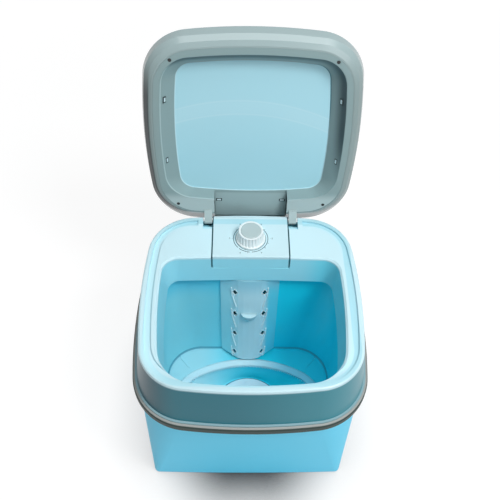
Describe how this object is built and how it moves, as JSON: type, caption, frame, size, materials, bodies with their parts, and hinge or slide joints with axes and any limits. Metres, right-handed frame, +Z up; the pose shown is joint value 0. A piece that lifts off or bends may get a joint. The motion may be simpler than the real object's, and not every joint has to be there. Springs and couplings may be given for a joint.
{
  "type": "small washing machine",
  "caption": "Small top-loading washing machine with a hinged window lid, a tub with a spinning pulsator and lint column, a timer knob and a belt drive under the tub.",
  "frame": {"origin": "on the floor, under the middle of the cabinet", "axes": "+Z up, -Y towards the front where a user stands, +X to that user's right"},
  "size_m": [0.376, 0.4328, 0.6973],
  "materials": {
    "cabinet_blue": "gloss",
    "collar_pale": "gloss",
    "band_grey": "gloss",
    "tub_blue": "gloss",
    "filter_blue": "satin",
    "latch_blue": "satin",
    "ring_white": "satin",
    "pulsator_blue": "gloss",
    "lid_pale": "gloss",
    "window_clear": "clear",
    "clip_grey": "satin",
    "knob_white": "satin",
    "knob_grey": "satin",
    "foot_black": "matte",
    "tray_grey": "matte",
    "screw_steel": "brushed",
    "screw_black": "satin",
    "shaft_steel": "brushed",
    "bush_brass": "turned",
    "cast_alloy": "cast",
    "bracket_paint": "satin",
    "wire_sheath": "matte"
  },
  "bodies": {
    "housing": {"foot_ring": "foot_black", "base_tray": "tray_grey", "tray_screws": "screw_steel", "cabinet": "cabinet_blue", "trim_band": "band_grey", "collar": "collar_pale", "control_panel": "collar_pale", "wash_tub": "tub_blue", "tub_screws": "screw_steel", "lint_filter": "filter_blue", "filter_latch": "latch_blue", "floor_ring": "ring_white", "bearing_housing": "cast_alloy", "housing_gasket": "foot_black", "housing_screws": "screw_steel", "upper_bush": "bush_brass", "lower_bush": "bush_brass", "shaft_seal": "foot_black", "drive_belt": "foot_black", "motor_bracket": "bracket_paint", "bracket_bushes": "foot_black", "bracket_screws": "screw_steel", "motor_lower_shield": "cast_alloy", "motor_stator": "shaft_steel", "motor_upper_shield": "cast_alloy", "motor_bearings": "bush_brass", "motor_bolts": "screw_steel", "run_capacitor": "cast_alloy", "capacitor_clamp": "tray_grey", "timer_body": "tray_grey", "timer_screws": "screw_steel", "drain_hose": "foot_black", "drain_spigot": "tray_grey", "cord_gland": "foot_black", "wiring": "wire_sheath", "hinge_pins": "screw_steel"},
    "lid": {"lid_shell": "lid_pale", "lid_frame": "lid_pale", "lid_window": "window_clear", "lid_screws": "screw_black", "window_clips": "clip_grey"},
    "agitator": {"pulsator": "pulsator_blue", "pulsator_screw": "screw_steel", "pulsator_cap": "pulsator_blue", "main_shaft": "shaft_steel", "driven_pulley": "cast_alloy", "pulley_nut": "screw_steel", "shaft_ring": "screw_steel"},
    "rotor": {"rotor_core": "shaft_steel", "motor_shaft": "shaft_steel", "motor_pulley": "cast_alloy", "pulley_setscrew": "screw_steel"},
    "knob": {"timer_knob": "knob_white", "knob_cap": "knob_grey", "timer_spindle": "shaft_steel"}
  },
  "joints": [
    {"name": "lid_hinge", "type": "hinge", "parent": "housing", "child": "lid", "pos_m": [0, 0.1526, 0.3859], "axis": [1, 0, 0], "range_deg": [0, 101.4]},
    {"name": "pulsator_spin", "type": "hinge", "parent": "housing", "child": "agitator", "pos_m": [0, -0.043, 0.09], "axis": [0, 0, 1], "continuous": true},
    {"name": "motor_spin", "type": "hinge", "parent": "housing", "child": "rotor", "pos_m": [-0.052, 0.108, 0.1], "axis": [0, 0, 1], "continuous": true},
    {"name": "timer_turn", "type": "hinge", "parent": "housing", "child": "knob", "pos_m": [0, 0.112, 0.39], "axis": [0, 0, -1], "range_deg": [0, 300]}
  ],
  "couplings": [
    {"joint": "motor_spin", "follows": "pulsator_spin", "ratio": 4}
  ]
}
